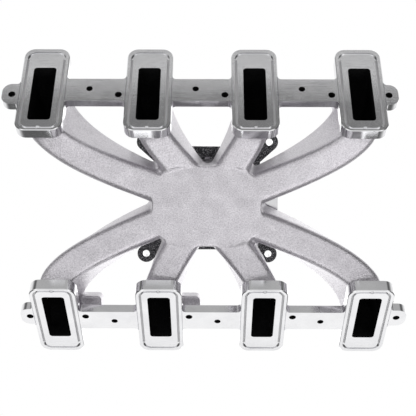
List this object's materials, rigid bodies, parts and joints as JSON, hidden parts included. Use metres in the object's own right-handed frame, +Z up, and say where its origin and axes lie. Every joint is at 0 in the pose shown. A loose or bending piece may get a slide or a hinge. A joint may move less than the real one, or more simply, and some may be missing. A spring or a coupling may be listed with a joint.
{
  "type": "intake manifold",
  "caption": "Cast V8 intake manifold: square four-barrel flange and open plenum on top, curved runners to two rows of tall rectangular ports with seal grooves.",
  "frame": {"origin": "centre of the carburettor stud pattern, on the flange's top face", "axes": "+Z up as installed, +X towards the front of the engine along its length, +Y towards the left bank"},
  "size_m": [0.4302, 0.336, 0.1379],
  "materials": {
    "cast_aluminium": "shot-blasted as-cast aluminium with a fine grain",
    "machined_aluminium": "milled aluminium faces with bright edges over a cast back"
  },
  "bodies": {
    "root": {"plenum_chamber": "cast_aluminium", "plenum_floor": "cast_aluminium", "carburettor_flange": "machined_aluminium", "flange_boss": "cast_aluminium", "vacuum_port_boss": "cast_aluminium", "left_runner_1": "cast_aluminium", "left_runner_2": "cast_aluminium", "left_runner_3": "cast_aluminium", "left_runner_4": "cast_aluminium", "left_port_flange_1": "machined_aluminium", "left_port_flange_2": "machined_aluminium", "left_port_flange_3": "machined_aluminium", "left_port_flange_4": "machined_aluminium", "left_rail_web_1": "machined_aluminium", "left_rail_web_2": "machined_aluminium", "left_rail_web_3": "machined_aluminium", "left_rail_front_tab": "machined_aluminium", "left_rail_rear_tab": "machined_aluminium", "left_fuel_rail_lug_1": "cast_aluminium", "left_fuel_rail_lug_2": "cast_aluminium", "right_runner_1": "cast_aluminium", "right_runner_2": "cast_aluminium", "right_runner_3": "cast_aluminium", "right_runner_4": "cast_aluminium", "right_port_flange_1": "machined_aluminium", "right_port_flange_2": "machined_aluminium", "right_port_flange_3": "machined_aluminium", "right_port_flange_4": "machined_aluminium", "right_rail_web_1": "machined_aluminium", "right_rail_web_2": "machined_aluminium", "right_rail_web_3": "machined_aluminium", "right_rail_front_tab": "machined_aluminium", "right_rail_rear_tab": "machined_aluminium", "right_fuel_rail_lug_1": "cast_aluminium", "right_fuel_rail_lug_2": "cast_aluminium"}
  },
  "joints": []
}
